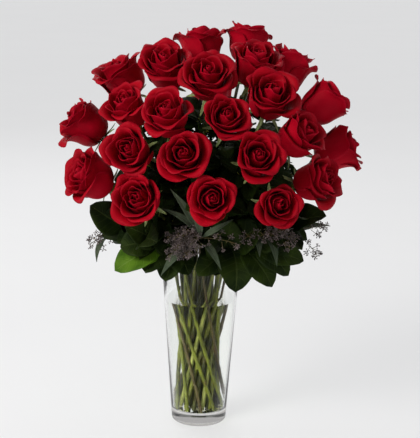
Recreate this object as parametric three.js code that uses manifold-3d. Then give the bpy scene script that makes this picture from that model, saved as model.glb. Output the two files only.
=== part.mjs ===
// Two dozen long-stemmed red roses with salal and seeded eucalyptus, standing in water in a clear glass vase.
//
// Millimetres, +Z up. The origin is the middle of the vase's flat foot, and -Y is the front of the bouquet.
// A bearing is an angle round the vase: 0 is the front, 90 is the right. A lean is an angle from straight up.
// Every stem is a straight rod from the vase's floor to its mouth. The stems stand in four rings, one inside
// another, and every second ring turns the other way on its way up, so that the stems cross in the glass like
// those of a bunch held in the hand. The rings are far enough apart that no two stems touch.

import * as THREE from "three";
import { mergeVertices } from "three/addons/utils/BufferGeometryUtils.js";
import Module from "manifold-3d";

const wasm = await Module();
wasm.setup();

// ---------- driving dimensions ----------

const GAP = 0.35; // clearance between pieces that touch

const VASE_HEIGHT = 256;
const FOOT_RADIUS = 42; // outside of the vase at its foot
const MOUTH_RADIUS = 60; // outside of the vase at its rim
const WALL = 3.2;
const FLOOR_THICKNESS = 20; // heavy glass foot
const VASE_SIDES = 32;
const WATER_LEVEL = 196;

const FLOOR_SPREAD = 34.5; // how far from the axis the outermost stems stand on the floor
const MOUTH_SPREAD = 52; // the same where they leave the mouth
const TWIST = 115; // degrees that a ring of stems turns between floor and mouth
const MOUTH_HEIGHT = VASE_HEIGHT + 6;

const ROSE_STEM = 2.6; // radius of a rose stem at its foot
const GREEN_STEM = 1.8; // radius of a salal or eucalyptus stem

const HEAD_WIDTH = 72; // the head's pattern is drawn at this width and scaled
const HEAD_MIDDLE = 30; // height of a head's middle above its base, at that width
const HIP_LENGTH = 14;
const PETAL = 0.9; // thickness of a petal
const BLADE = 0.8; // thickness of a leaf

const OUTER_RING = 0.7; // rings of stems, as shares of the spread
const MIDDLE_RING = 0.45;
const INNER_RING = 0.2;
const GREEN_RING = 0.93;

const FOOT_HEIGHT = FLOOR_THICKNESS + 1.3; // the slanted cut ends just clear the floor
const FOOT_ROUND = 5; // rounding of the foot's outer edge
const INNER_ROUND = 4; // rounding where the inner wall meets the floor

const STEM_SIDES = 5;
const HOLE_SIDES = 5;
const ROSE_STEPS = 6;
const GREEN_STEPS = 4;
const HIP_RADIUS = 6.5;
const SEPAL_ROOT = 7.5; // how far from the hip's axis a sepal starts, and where its point lies
const SEPAL_TIP = 24;
const SEPAL_DROOP = 0.45;
const LEAF_LENGTH = 64; // of a whole rose leaf
const TWIG = 1;
const SEED = 2.6; // radius of a eucalyptus seed
const SEED_SEAT = 1.6; // how far a seed's middle stands off its twig
const SEED_STEP = 5.4;
const SEEDS = 4; // on each twig

const PETAL_RED = new THREE.MeshStandardMaterial({ color: 0xa3000f, roughness: 0.6 });
const STEM_GREEN = new THREE.MeshStandardMaterial({ color: 0x4e6b2a, roughness: 0.6 });
const SALAL_GREEN = new THREE.MeshStandardMaterial({ color: 0x1f3a14, roughness: 0.45 });
const EUCALYPTUS_GREY = new THREE.MeshStandardMaterial({ color: 0x5a4f4a, roughness: 0.8 });
const CLEAR = { transparent: true, opacity: 0.3 };
const GLASS = new THREE.MeshStandardMaterial({ color: 0xf2f7f6, roughness: 0.03, ...CLEAR });
const WATER = new THREE.MeshStandardMaterial({ color: 0xe8f1ea, roughness: 0.02, ...CLEAR });

// The heads, ring by ring, each ring from the back left round the front to the back right.
// x, y, z: the middle of the head. bearing, lean: the way it faces. width: across its open rim.
const OUTER_ROSES = [
  { x: -125, y: 30, z: 532, bearing: -70, lean: 30, width: 74, leaf: { share: 0.55, turn: 30 } },
  { x: -180, y: 10, z: 462, bearing: -82, lean: 54, width: 71 },
  { x: -166, y: -50, z: 392, bearing: -62, lean: 62, width: 74, leaf: { share: 0.6, turn: -40 } },
  { x: -101, y: -112, z: 444, bearing: -22, lean: 68, width: 67 },
  { x: -89, y: -128, z: 376, bearing: -18, lean: 66, width: 69 },
  { x: 15, y: -158, z: 387, bearing: 2, lean: 78, width: 64 },
  { x: 109, y: -134, z: 375, bearing: 14, lean: 78, width: 61 },
  { x: 139, y: -88, z: 467, bearing: 52, lean: 52, width: 68 },
  { x: 166, y: -85, z: 402, bearing: 55, lean: 68, width: 72, leaf: { share: 0.6, turn: 60 } },
  { x: 205, y: 20, z: 428, bearing: 92, lean: 60, width: 73 },
  { x: 181, y: 40, z: 498, bearing: 98, lean: 46, width: 75, leaf: { share: 0.6, turn: 0 } },
  { x: 128, y: 70, z: 544, bearing: 110, lean: 26, width: 73 },
  { x: 15, y: 128, z: 478, bearing: 178, lean: 58, width: 70, leaf: { share: 0.55, turn: 0 } },
];
const MIDDLE_ROSES = [
  { x: -5, y: 68, z: 575, bearing: 180, lean: 8, width: 74 },
  { x: -57, y: 0, z: 552, bearing: -15, lean: 32, width: 76, leaf: { share: 0.72, turn: 0 } },
  { x: -110, y: -46, z: 496, bearing: -40, lean: 38, width: 66, leaf: { share: 0.6, turn: 0 } },
  { x: -26, y: -148, z: 446, bearing: -8, lean: 68, width: 69 },
  { x: 77, y: -147, z: 444, bearing: 10, lean: 62, width: 68, leaf: { share: 0.6, turn: 20 } },
  { x: 96, y: -65, z: 518, bearing: 14, lean: 44, width: 76, leaf: { share: 0.72, turn: 60 } },
  { x: 75, y: 6, z: 556, bearing: 30, lean: 26, width: 73 },
  { x: 65, y: 88, z: 585, bearing: 130, lean: 14, width: 74, leaf: { share: 0.7, turn: -50 } },
];
const INNER_ROSES = [
  { x: -50, y: -108, z: 496, bearing: -12, lean: 46, width: 71, leaf: { share: 0.7, turn: 40 } },
  { x: 33, y: -119, z: 495, bearing: 5, lean: 58, width: 66, leaf: { share: 0.65, turn: -60 } },
  { x: 6, y: -50, z: 543, bearing: 2, lean: 42, width: 76 },
];

// The greens. share: how far up the free arc a leaf or a twig grows. tip: where it ends. width: of the leaf.
// The bearing says where the stem leaves the mouth, and end is the end of its arc.
const SALAL = [
  {
    name: "salal_back_left",
    bearing: -144,
    end: [-84, 88, 318],
    leaves: [
      { share: 0.35, tip: [-88, 92, 262], width: 44 },
      { share: 0.55, tip: [-120, 56, 300], width: 46 },
      { share: 0.7, tip: [-44, 130, 312], width: 44 },
      { share: 0.85, tip: [-78, 92, 384], width: 44 },
      { share: 1, tip: [-132, 128, 330], width: 48 },
    ],
  },
  {
    name: "salal_left",
    bearing: -72,
    end: [-112, -22, 308],
    leaves: [
      { share: 0.35, tip: [-112, -16, 262], width: 44 },
      { share: 0.55, tip: [-122, -66, 300], width: 44 },
      { share: 0.8, tip: [-134, 26, 326], width: 46 },
      { share: 1, tip: [-164, -42, 347], width: 48 },
    ],
  },
  {
    name: "salal_front_left",
    bearing: -36,
    end: [-82, -84, 302],
    leaves: [
      { share: 0.3, tip: [-52, -94, 248], width: 42 },
      { share: 0.6, tip: [-126, -92, 264], width: 48 },
      { share: 0.75, tip: [-108, -98, 330], width: 44 },
      { share: 1, tip: [-66, -134, 318], width: 44 },
    ],
  },
  {
    name: "salal_front_right",
    bearing: 36,
    end: [78, -92, 300],
    leaves: [
      { share: 0.3, tip: [-4, -108, 262], width: 42 },
      { share: 0.5, tip: [52, -112, 240], width: 54 },
      { share: 0.72, tip: [106, -104, 246], width: 44 },
      { share: 1, tip: [128, -118, 268], width: 40 },
    ],
  },
  {
    name: "salal_right",
    bearing: 108,
    end: [124, -12, 312],
    leaves: [
      { share: 0.35, tip: [112, -4, 256], width: 40 },
      { share: 0.55, tip: [150, -62, 290], width: 48 },
      { share: 0.75, tip: [150, 34, 318], width: 46 },
      { share: 1, tip: [184, -48, 340], width: 46 },
    ],
  },
  {
    name: "salal_back_right",
    bearing: 180,
    end: [40, 112, 318],
    leaves: [
      { share: 0.35, tip: [14, 112, 262], width: 44 },
      { share: 0.55, tip: [78, 96, 292], width: 46 },
      { share: 0.7, tip: [-10, 128, 330], width: 44 },
      { share: 0.85, tip: [66, 96, 378], width: 44 },
      { share: 1, tip: [78, 150, 318], width: 48 },
    ],
  },
];

const EUCALYPTUS = [
  {
    name: "eucalyptus_left",
    bearing: -108,
    end: [-138, 2, 292],
    leaves: [
      { share: 0.6, tip: [-128, 62, 290], width: 13 },
      { share: 1, tip: [-158, -40, 262], width: 13 },
    ],
    seeds: [
      { share: 0.9, tip: [-156, -40, 300] },
      { share: 1, tip: [-168, -26, 284] },
    ],
  },
  {
    name: "eucalyptus_front",
    bearing: 0,
    end: [0, -112, 318],
    leaves: [
      { share: 0.8, tip: [-58, -118, 262], width: 14 },
      { share: 1, tip: [34, -142, 346], width: 13 },
    ],
    seeds: [
      { share: 0.8, tip: [-36, -132, 306] },
      { share: 0.9, tip: [-32, -138, 326] },
      { share: 1, tip: [-8, -142, 318] },
      { share: 0.95, tip: [28, -132, 328] },
    ],
  },
  {
    name: "eucalyptus_front_right",
    bearing: 72,
    end: [104, -72, 318],
    leaves: [
      { share: 0.7, tip: [86, -126, 300], width: 15 },
      { share: 1, tip: [134, -66, 352], width: 13 },
    ],
    seeds: [
      { share: 0.8, tip: [66, -118, 322] },
      { share: 0.95, tip: [102, -112, 324] },
      { share: 1, tip: [136, -102, 316] },
    ],
  },
  {
    name: "eucalyptus_right",
    bearing: 144,
    end: [146, 14, 296],
    leaves: [
      { share: 0.6, tip: [120, 74, 292], width: 14 },
      { share: 1, tip: [196, 10, 312], width: 13 },
    ],
    seeds: [
      { share: 0.9, tip: [186, -22, 316] },
      { share: 1, tip: [174, -36, 276] },
    ],
  },
];

// ---------- solids and placing ----------

const UP = new THREE.Vector3(0, 0, 1);
const radians = THREE.MathUtils.degToRad;

// The direction that faces a bearing and leans over from straight up.
function facing(bearing, lean) {
  const level = Math.sin(radians(lean));
  return new THREE.Vector3(
    Math.sin(radians(bearing)) * level,
    -Math.cos(radians(bearing)) * level,
    Math.cos(radians(lean)),
  );
}

// The placing that stands a pattern drawn along +Z on a point, turned to a direction.
function standing(point, direction, size = 1, spin = 0) {
  const turn = new THREE.Quaternion().setFromUnitVectors(UP, direction);
  turn.multiply(new THREE.Quaternion().setFromAxisAngle(UP, radians(spin)));
  return new THREE.Matrix4().compose(point, turn, new THREE.Vector3(size, size, size));
}

// A closed geometry as a solid: only positions, shared corners merged, and triangles with no area left out.
function solid(geometry) {
  const bare = new THREE.BufferGeometry();
  bare.setAttribute("position", geometry.getAttribute("position"));
  bare.setIndex(geometry.getIndex());
  const merged = mergeVertices(bare, 1e-3);
  const corners = merged.getIndex().array;
  const triangles = [];
  for (let i = 0; i < corners.length; i += 3) {
    const [a, b, c] = corners.slice(i, i + 3);
    if (a !== b && b !== c && c !== a) {
      triangles.push(a, b, c);
    }
  }
  const mesh = new wasm.Mesh({
    numProp: 3,
    vertProperties: new Float32Array(merged.getAttribute("position").array),
    triVerts: new Uint32Array(triangles),
  });
  return new wasm.Manifold(mesh);
}

function joined(geometries) {
  return geometries.map(solid).reduce((whole, piece) => whole.add(piece));
}

function part(name, shape, material) {
  const { vertProperties, triVerts } = shape.getMesh();
  const geometry = new THREE.BufferGeometry();
  geometry.setAttribute("position", new THREE.BufferAttribute(vertProperties, 3));
  geometry.setIndex(new THREE.BufferAttribute(triVerts, 1));
  geometry.computeVertexNormals();
  const mesh = new THREE.Mesh(geometry, material);
  mesh.name = name;
  return mesh;
}

// A thin closed sheet. place(s, a, face) gives its points: s runs from 0 at the root to 1 at the tip, a from
// -1 to 1 across, and face is 1 on one side and -1 on the other. Both sides are split into triangles alike.
function sheet(across, along, place) {
  const points = [];
  for (let i = 0; i <= along; i += 1) {
    for (let j = 0; j <= across; j += 1) {
      for (const face of [1, -1]) {
        points.push(place(i / along, (2 * j) / across - 1, face));
      }
    }
  }
  const corner = (i, j) => 2 * (i * (across + 1) + j);
  const index = [];
  for (let i = 0; i < along; i += 1) {
    for (let j = 0; j < across; j += 1) {
      const [a, b, c, d] = [corner(i, j), corner(i, j + 1), corner(i + 1, j + 1), corner(i + 1, j)];
      index.push(a, b, c, a, c, d);
      index.push(a + 1, c + 1, b + 1, a + 1, d + 1, c + 1);
    }
  }
  const border = [];
  for (let j = 0; j < across; j += 1) border.push(corner(0, j));
  for (let i = 0; i < along; i += 1) border.push(corner(i, across));
  for (let j = across; j > 0; j -= 1) border.push(corner(along, j));
  for (let i = along; i > 0; i -= 1) border.push(corner(i, 0));
  border.forEach((p, k) => {
    const q = border[(k + 1) % border.length];
    index.push(p, p + 1, q + 1, p, q + 1, q);
  });
  const geometry = new THREE.BufferGeometry().setFromPoints(points);
  geometry.setIndex(index);
  return geometry;
}

// A pointed leaf, arched from its base to its tip and folded up a little along its rib.
function leaf(base, tip, width, upper) {
  const forward = tip.clone().sub(base);
  const length = forward.length();
  forward.normalize();
  const side = forward.clone().cross(upper).normalize();
  const normal = side.clone().cross(forward);
  return sheet(2, 3, (s, a, face) => {
    const half = 0.5 * width * Math.sin(Math.PI * s ** 0.85);
    const height = 0.45 * s * (1 - s) * length + 0.25 * Math.abs(a) * half + 0.5 * face * BLADE;
    return base
      .clone()
      .addScaledVector(forward, s * length)
      .addScaledVector(side, a * half)
      .addScaledVector(normal, height);
  });
}

// ---------- stems ----------

// Where a stem stands at the mouth, and where it stands on the floor, for its ring and its bearing.
function mouthPoint(ring, bearing) {
  return facing(bearing, 90).multiplyScalar(ring * MOUTH_SPREAD).setZ(MOUTH_HEIGHT);
}

// The middle ring and the greens turn the other way.
function footPoint(ring, bearing) {
  const turn = ring === MIDDLE_RING || ring === GREEN_RING ? -TWIST : TWIST;
  return facing(bearing - turn, 90).multiplyScalar(ring * FLOOR_SPREAD).setZ(FOOT_HEIGHT);
}

// A stem's middle line: one straight step from the floor to the mouth, then an arc in equal steps to its end.
class StemLine extends THREE.Curve {
  constructor(ring, bearing, end, direction, rise, steps) {
    super();
    this.steps = steps;
    this.rod = new THREE.LineCurve3(footPoint(ring, bearing), mouthPoint(ring, bearing));
    const reach = rise * this.rod.v2.distanceTo(end);
    const leaving = this.rod.v2.clone().addScaledVector(this.rod.getTangent(0), reach);
    const arriving = end.clone().addScaledVector(direction, -reach);
    this.arc = new THREE.CubicBezierCurve3(this.rod.v2, leaving, arriving, end);
  }

  getPoint(t) {
    const step = t * this.steps;
    return step <= 1 ? this.rod.getPoint(step) : this.arc.getPoint((step - 1) / (this.steps - 1));
  }

  getPointAt(t) {
    return this.getPoint(t);
  }

  getTangentAt(t) {
    return this.getTangent(t);
  }
}

function circle(radius, sides) {
  const points = [];
  for (let i = 0; i < sides; i += 1) {
    const angle = (2 * Math.PI * i) / sides;
    points.push(new THREE.Vector2(radius * Math.cos(angle), radius * Math.sin(angle)));
  }
  return new THREE.Shape(points);
}

function rod(line, steps, radius, sides) {
  return new THREE.ExtrudeGeometry(circle(radius, sides), { extrudePath: line, steps, bevelEnabled: false });
}

// The straight hole that a stem's rod leaves in the water.
function stemHole(line, radius) {
  const [foot, mouth] = [line.rod.v1, line.rod.v2];
  const low = foot.clone().lerp(mouth, -0.1);
  const clear = (radius + GAP) / Math.cos(Math.PI / HOLE_SIDES);
  return solid(rod(new THREE.LineCurve3(low, mouth), 1, clear, HOLE_SIDES));
}

// ---------- the vase and its water ----------

// Radius of the vase's outside and of its inside at a height.
const outsideAt = (z) => FOOT_RADIUS + ((MOUTH_RADIUS - FOOT_RADIUS) * z) / VASE_HEIGHT;
const insideAt = (z) => outsideAt(z) - WALL;

// Turned round the axis, with each curve of the path as a plain chamfer.
function lathe(path) {
  return new THREE.LatheGeometry(path.getPoints(1), VASE_SIDES).rotateX(Math.PI / 2);
}

function vase() {
  const rim = WALL / 2;
  const path = new THREE.Path();
  path.moveTo(0, 0);
  path.lineTo(FOOT_RADIUS - FOOT_ROUND, 0);
  path.quadraticCurveTo(FOOT_RADIUS, 0, outsideAt(FOOT_ROUND), FOOT_ROUND);
  path.lineTo(outsideAt(VASE_HEIGHT - rim), VASE_HEIGHT - rim);
  path.absarc(outsideAt(VASE_HEIGHT - rim) - rim, VASE_HEIGHT - rim, rim, 0, Math.PI);
  path.lineTo(insideAt(FLOOR_THICKNESS + INNER_ROUND), FLOOR_THICKNESS + INNER_ROUND);
  path.quadraticCurveTo(
    insideAt(FLOOR_THICKNESS),
    FLOOR_THICKNESS,
    insideAt(FLOOR_THICKNESS) - INNER_ROUND,
    FLOOR_THICKNESS,
  );
  path.lineTo(0, FLOOR_THICKNESS);
  return part("vase", solid(lathe(path)), GLASS);
}

// The water fills the vase up to its level, with a plain straight hole for every stem.
function water(holes) {
  const floor = FLOOR_THICKNESS + GAP;
  const path = new THREE.Path();
  path.moveTo(0, floor);
  path.lineTo(insideAt(floor) - GAP - INNER_ROUND, floor);
  path.quadraticCurveTo(
    insideAt(floor) - GAP,
    floor,
    insideAt(floor + INNER_ROUND) - GAP,
    floor + INNER_ROUND,
  );
  path.lineTo(insideAt(WATER_LEVEL) - GAP, WATER_LEVEL);
  path.lineTo(0, WATER_LEVEL);
  return part("water", solid(lathe(path)).subtract(wasm.Manifold.union(holes)), WATER);
}

// ---------- the roses ----------

// One petal: its profile from root to rim, its turn round the head's axis and half its spread in degrees. It
// opens from a narrow root, winds outward towards one side, so that neighbours overlap without crossing, and
// its corners droop.
function petal(profile, turn, spread, wind, droop) {
  return sheet(2, 2, (s, a, face) => {
    const middle = profile.getPoint(s);
    const slope = profile.getTangent(s);
    const open = a * Math.min(1, 2 * s);
    const radius = middle.x + 0.5 * face * PETAL * slope.y + wind * open;
    const height = middle.y - 0.5 * face * PETAL * slope.x - droop * s * a * a;
    const angle = radians(turn + spread * open);
    return new THREE.Vector3(radius * Math.cos(angle), radius * Math.sin(angle), height);
  });
}

const profileOf = (points) => new THREE.SplineCurve(points.map(([r, z]) => new THREE.Vector2(r, z)));
const FIRST_PETAL = 18; // turned so that each root sinks into a flat of the five-sided bud
const BUD = [[0, 0], [8, 0], [15, 6], [12, 44], [0, 49]];
const MIDDLE_PETAL = profileOf([[9, 8], [19, 26], [24, 50]]);
const OUTER_PETAL = profileOf([[8, 3], [31, 24], [37, 44]]);

// The head: a bud, three petals half open round it, and five open ones outside. All its petals are one body.
function roseHead() {
  const bud = new THREE.LatheGeometry(BUD.map(([r, z]) => new THREE.Vector2(r, z)), 5);
  const pieces = [bud.rotateX(Math.PI / 2)];
  for (let i = 0; i < 3; i += 1) {
    pieces.push(petal(MIDDLE_PETAL, FIRST_PETAL + 120 * i, 66, 2.5, 4));
  }
  for (let i = 0; i < 5; i += 1) {
    pieces.push(petal(OUTER_PETAL, FIRST_PETAL + 72 * i, 44, 3.2, 6));
  }
  return joined(pieces);
}

// The green cup under the head, standing on the stem's end, and its five sepals, cut as one star and bent
// down.
function hip(neck, axis) {
  const top = HIP_LENGTH - GAP;
  const brim = top - BLADE / 2;
  const profile = [[0, 0], [ROSE_STEM + 0.8, 0], [HIP_RADIUS, 8], [HIP_RADIUS, brim], [0, brim]];
  const cup = new THREE.LatheGeometry(profile.map(([r, z]) => new THREE.Vector2(r, z)), STEM_SIDES);
  const star = [];
  for (let i = 0; i < 10; i += 1) {
    const reach = i % 2 ? SEPAL_TIP : SEPAL_ROOT;
    star.push(new THREE.Vector2(reach * Math.cos(radians(36 * i)), reach * Math.sin(radians(36 * i))));
  }
  const sepals = new THREE.ExtrudeGeometry(new THREE.Shape(star), { depth: BLADE, bevelEnabled: false });
  const corners = sepals.getAttribute("position");
  for (let i = 0; i < corners.count; i += 1) {
    const out = Math.hypot(corners.getX(i), corners.getY(i)) - SEPAL_ROOT;
    corners.setZ(i, corners.getZ(i) + top - BLADE - SEPAL_DROOP * out);
  }
  return [cup.rotateX(Math.PI / 2), sepals].map((piece) => piece.applyMatrix4(standing(neck, axis)));
}

// A rose leaf: a stalk with three leaflets in one arched blade. Its outline is drawn with the stalk along Y.
function roseLeafBlade() {
  const right = [
    [1, 0],
    [1.2, 17],
    [14, 10],
    [34, 17],
    [20, 26],
    [1.5, 22],
    [13, 40],
  ];
  const left = right.map(([x, y]) => [-x, y]).reverse();
  const outline = [...right, [0, LEAF_LENGTH], ...left].map(([x, y]) => new THREE.Vector2(x, y));
  const blade = new THREE.ExtrudeGeometry(new THREE.Shape(outline), { depth: BLADE, bevelEnabled: false });
  const corners = blade.getAttribute("position");
  for (let i = 0; i < corners.count; i += 1) {
    const [x, y] = [Math.abs(corners.getX(i)), corners.getY(i)];
    corners.setZ(i, corners.getZ(i) + 0.1 * x + 0.006 * y * (LEAF_LENGTH - y));
  }
  return blade;
}

// The blade grows from the stem's arc, turned round it from outward.
function roseLeaf(line, { share, turn }) {
  const from = line.arc.getPoint(share);
  const along = line.arc.getTangent(share);
  const out = from.clone().setZ(0).normalize();
  out.addScaledVector(along, -out.dot(along)).normalize();
  out.applyAxisAngle(along, radians(turn));
  const forward = out.clone().multiplyScalar(0.85).addScaledVector(along, 0.5).normalize();
  const side = forward.clone().cross(along).normalize();
  const placing = new THREE.Matrix4().makeBasis(side, forward, side.clone().cross(forward));
  return roseLeafBlade().applyMatrix4(placing.setPosition(from));
}

function roseStem(rose, ring, bearing) {
  const axis = facing(rose.bearing, rose.lean);
  const base = new THREE.Vector3(rose.x, rose.y, rose.z);
  base.addScaledVector(axis, (-HEAD_MIDDLE * rose.width) / HEAD_WIDTH);
  const neck = base.clone().addScaledVector(axis, -HIP_LENGTH);
  const line = new StemLine(ring, bearing, neck.clone().addScaledVector(axis, 3), axis, 0.4, ROSE_STEPS);
  const pieces = [rod(line, ROSE_STEPS, ROSE_STEM, STEM_SIDES), ...hip(neck, axis)];
  if (rose.leaf) {
    pieces.push(roseLeaf(line, rose.leaf));
  }
  return { line, base, axis, shape: joined(pieces) };
}

// ---------- the greens ----------

const vector = ([x, y, z]) => new THREE.Vector3(x, y, z);

// A leaf's upper face is turned up and away from the bouquet, more to the front or the back than sideways.
function upperFace(base, tip) {
  const out = new THREE.Vector3(0.35 * (base.x + tip.x), base.y + tip.y - 50, 0).normalize();
  return out.addScaledVector(UP, 0.7);
}

function greenLine(green) {
  const mouth = mouthPoint(GREEN_RING, green.bearing);
  const end = vector(green.end);
  const direction = end.clone().sub(mouth).setZ(0).normalize().addScaledVector(UP, 0.15).normalize();
  return new StemLine(GREEN_RING, green.bearing, end, direction, 0.45, GREEN_STEPS);
}

function greenLeaves(line, leaves) {
  return leaves.map(({ share, tip, width }) => {
    const base = line.arc.getPoint(share);
    return leaf(base, vector(tip), width, upperFace(base, vector(tip)));
  });
}

// A twig with seeds set round it in a spiral down from its tip, each one sunk a little into the twig.
function seedTwig(base, tip) {
  const line = new THREE.LineCurve3(base, tip);
  const along = line.getTangent(0);
  const out = UP.clone().cross(along).normalize();
  const pieces = [rod(line, 1, TWIG, 3)];
  for (let i = 0; i < SEEDS; i += 1) {
    const seed = new THREE.OctahedronGeometry(SEED);
    const place = tip.clone().addScaledVector(along, -i * SEED_STEP);
    place.addScaledVector(out.clone().applyAxisAngle(along, radians(137.5 * i)), SEED_SEAT);
    pieces.push(seed.translate(place.x, place.y, place.z));
  }
  return pieces;
}

// ---------- the whole bouquet ----------

const group = new THREE.Group();
const holes = [];
const headShape = roseHead();
const rings = [
  { roses: OUTER_ROSES, ring: OUTER_RING, first: -152 },
  { roses: MIDDLE_ROSES, ring: MIDDLE_RING, first: -151 },
  { roses: INNER_ROSES, ring: INNER_RING, first: -60 },
];

let number = 0;
for (const { roses, ring, first } of rings) {
  roses.forEach((rose, i) => {
    number += 1;
    const label = String(number).padStart(2, "0");
    const stem = roseStem(rose, ring, first + (360 * i) / roses.length);
    holes.push(stemHole(stem.line, ROSE_STEM));
    group.add(part(`stem_${label}`, stem.shape, STEM_GREEN));
    const head = part(`bloom_${label}`, headShape, PETAL_RED);
    head.applyMatrix4(standing(stem.base, stem.axis, rose.width / HEAD_WIDTH, 50 * number));
    group.add(head);
  });
}

for (const green of SALAL) {
  const line = greenLine(green);
  holes.push(stemHole(line, GREEN_STEM));
  const pieces = [rod(line, GREEN_STEPS, GREEN_STEM, STEM_SIDES), ...greenLeaves(line, green.leaves)];
  group.add(part(green.name, joined(pieces), SALAL_GREEN));
}

for (const green of EUCALYPTUS) {
  const line = greenLine(green);
  holes.push(stemHole(line, GREEN_STEM));
  const pieces = [rod(line, GREEN_STEPS, GREEN_STEM, STEM_SIDES), ...greenLeaves(line, green.leaves)];
  for (const { share, tip } of green.seeds) {
    pieces.push(...seedTwig(line.arc.getPoint(share), vector(tip)));
  }
  group.add(part(green.name, joined(pieces), EUCALYPTUS_GREY));
}

group.add(vase(), water(holes));

export default group;
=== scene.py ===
# %% [markdown]
# # Two dozen red roses in a glass vase
#
# A bouquet of 24 long-stemmed red roses, with a collar of six branches of salal and four sprays
# of seeded eucalyptus, stands in water in a clear glass vase. Plain solids were made first, in
# another tool. This lesson models each piece again in full detail, in the same place, and gives
# it its finish.
#
# The first cell loads the plain solids as a fixed frame. They are never moved.

# %% Load the frame
import math

import bpy
import numpy as np
from mathutils import Matrix, Vector
from mathutils.geometry import interpolate_bezier


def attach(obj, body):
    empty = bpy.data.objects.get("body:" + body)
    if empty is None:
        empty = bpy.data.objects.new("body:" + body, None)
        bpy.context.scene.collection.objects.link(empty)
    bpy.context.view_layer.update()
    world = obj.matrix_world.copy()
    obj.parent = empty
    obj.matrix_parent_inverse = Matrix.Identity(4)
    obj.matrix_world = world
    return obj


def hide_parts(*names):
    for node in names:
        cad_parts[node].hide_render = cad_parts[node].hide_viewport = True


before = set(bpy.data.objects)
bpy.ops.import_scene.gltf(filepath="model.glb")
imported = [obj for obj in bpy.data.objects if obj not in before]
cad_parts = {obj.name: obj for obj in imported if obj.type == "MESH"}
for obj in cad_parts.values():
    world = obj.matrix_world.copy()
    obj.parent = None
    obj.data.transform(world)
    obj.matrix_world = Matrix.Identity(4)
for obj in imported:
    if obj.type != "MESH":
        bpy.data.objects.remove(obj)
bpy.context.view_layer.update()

# %% [markdown]
# ## Camera
#
# The camera stands about two metres away and looks down by 13 degrees. With its long lens the
# sides of the vase keep their true slope. The picture leans by one degree.

# %% Camera
CAMERA_PLACE = (0.01258, -2.07216, 0.80118)
DOWN_TILT = math.radians(13.07)
SIDE_TILT = math.radians(0.98)
LONG_LENS = 115.07  # millimetres, on a sensor that is 36 mm on its longer side

bpy.ops.object.select_all(action="DESELECT")
bpy.ops.object.camera_add(location=CAMERA_PLACE)
camera = bpy.context.object
camera.name = "camera"
camera.data.lens = LONG_LENS
camera.data.sensor_width = 36
look = Matrix.Rotation(math.radians(90) - DOWN_TILT, 4, "X") @ Matrix.Rotation(SIDE_TILT, 4, "Z")
camera.rotation_euler = look.to_euler()
bpy.context.scene.camera = camera
print("camera at", CAMERA_PLACE, "lens", LONG_LENS)

# %% [markdown]
# ## A short way to write shaders
#
# A material is a net of nodes. `Wire` stands for one socket of it, and a sum or a product of
# wires adds its own Math node, as in `1 - mask`. Any other node comes from `node`: its kind, its
# settings, then what goes into its sockets.

# %% Wire
def fill(sockets, values):
    """Gives each named socket its wire, or a value of its own."""
    for name, value in values.items():
        if isinstance(value, Wire):
            value.tree.links.new(value.socket, sockets[name])
        else:
            sockets[name].default_value = value


class Wire:
    def __init__(self, tree, socket=None):
        self.tree = tree
        self.socket = socket

    def node(self, kind, settings, inputs, output=0):
        made = self.tree.nodes.new("ShaderNode" + kind)
        for name, value in settings.items():
            setattr(made, name, value)
        fill(made.inputs, inputs)
        return Wire(self.tree, made.outputs[output])

    def math(self, operation, *values):
        return self.node("Math", {"operation": operation}, dict(enumerate(values)))

    def __add__(self, other):
        return self.math("ADD", self, other)

    def __sub__(self, other):
        return self.math("SUBTRACT", self, other)

    def __rsub__(self, other):
        return self.math("SUBTRACT", other, self)

    def __mul__(self, other):
        return self.math("MULTIPLY", self, other)

    __radd__ = __add__
    __rmul__ = __mul__

    def step(self, low, high):
        """Rises softly from 0 where this wire is at low to 1 where it is at high."""
        settings = {"interpolation_type": "SMOOTHSTEP"}
        return self.node("MapRange", settings, {"Value": self, "From Min": low, "From Max": high})

    def blend(self, first, second):
        """The first colour where this wire is 0, the second where it is 1."""
        settings = {"data_type": "RGBA"}
        colours = [c if isinstance(c, Wire) else (*c, 1) for c in (first, second)]
        return self.node("Mix", settings, {0: self, 6: colours[0], 7: colours[1]}, 2)


def new_finish(name):
    """A material with its surface shader, and a wire to start its net with."""
    finish = bpy.data.materials.new(name)
    finish.use_nodes = True
    return finish, finish.node_tree.nodes["Principled BSDF"].inputs, Wire(finish.node_tree)


def own_place(wire):
    """Object coordinates, the same as in the frame: every piece's object is at the origin."""
    return wire.node("TexCoord", {}, {}, "Object")


def noise(wire, scale, detail, vector=None):
    vector = vector or own_place(wire)
    return wire.node("TexNoise", {}, {"Vector": vector, "Scale": scale, "Detail": detail}, "Fac")


def map_axes(wire):
    """Across and along a petal or leaf: -1 to 1 from side to side, 0 to 1 from root to tip."""
    flat = wire.node("UVMap", {}, {})
    across = wire.node("SeparateXYZ", {}, {"Vector": flat}, "X")
    along = wire.node("SeparateXYZ", {}, {"Vector": flat}, "Y")
    return 2 * across - 1, along


def bump(wire, height, distance, strength=1.0):
    inputs = {"Height": height, "Distance": distance, "Strength": strength}
    return wire.node("Bump", {}, inputs, "Normal")


print("wires ready")

# %% [markdown]
# ## Floor and lamps
#
# The floor is one pale sheet that glows a little, so that it stays pale in the bouquet's shade. A
# wide soft lamp high on the left gives the petals their form. A weaker one stands on the right,
# and one behind draws a thin bright edge on leaves and glass. A small low one with a narrow beam
# lights the stems in the vase. The lamps don't show themselves, to the camera or through the
# glass.

# %% Floor and lamps
FLOOR_GLOW = 0.52
BLOOMS = (0, 0, 0.4)

bpy.ops.object.select_all(action="DESELECT")
bpy.ops.mesh.primitive_plane_add(size=30, location=(0, 0, -0.0004))
floor = bpy.context.object
floor.name = "floor"
bpy.ops.object.transform_apply(location=True, rotation=False, scale=False)

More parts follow.
